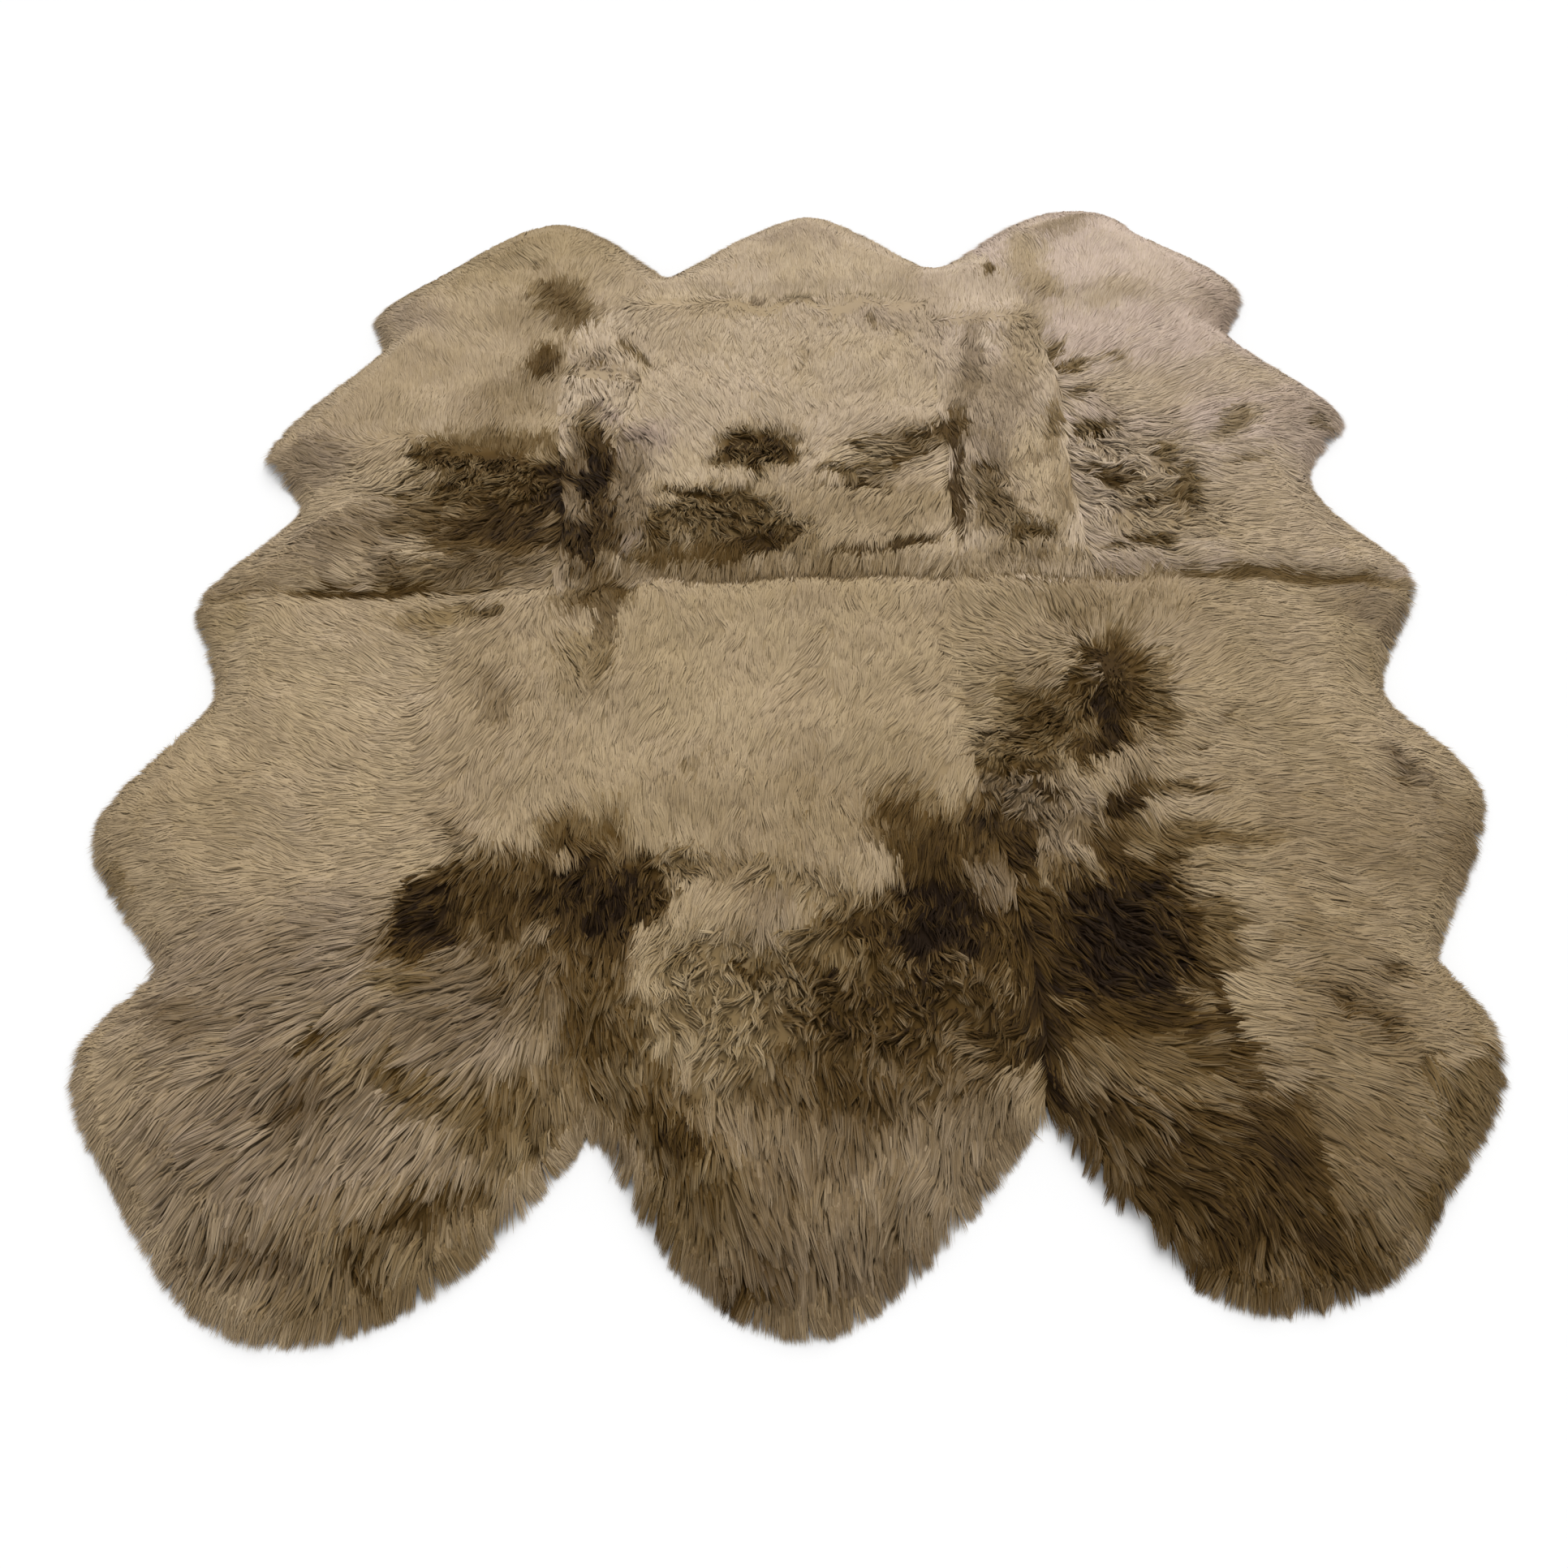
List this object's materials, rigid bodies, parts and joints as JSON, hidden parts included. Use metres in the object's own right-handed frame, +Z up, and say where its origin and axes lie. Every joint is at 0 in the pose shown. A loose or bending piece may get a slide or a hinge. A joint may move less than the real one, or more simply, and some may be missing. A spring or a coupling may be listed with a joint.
{
  "type": "sheepskin rug",
  "caption": "Flat rug sewn from whole sheepskins, with a scalloped outline, deep taupe wool in natural light and dark patches, and a bare skin underside.",
  "frame": {"origin": "on the floor under the middle of the rug's box", "axes": "+X across the rug, +Y along it towards the back row of pelts, +Z up out of the wool"},
  "size_m": [1.7962, 1.9304, 0.0574],
  "materials": {
    "wool_tan": "matt, silky tips",
    "wool_brown": "matt, silky tips",
    "wool_pale": "matt, silky tips",
    "suede": "napped, matt"
  },
  "bodies": {
    "root": {"front_left_pelt": "wool_tan", "front_middle_pelt": "wool_tan", "front_right_pelt": "wool_brown", "front_corner_patch": "wool_brown", "back_left_pelt": "wool_tan", "back_left_strip": "wool_pale", "back_middle_pelt": "wool_pale", "back_middle_collar": "wool_pale", "back_right_strip": "wool_pale", "back_right_pelt": "wool_pale"}
  },
  "joints": []
}
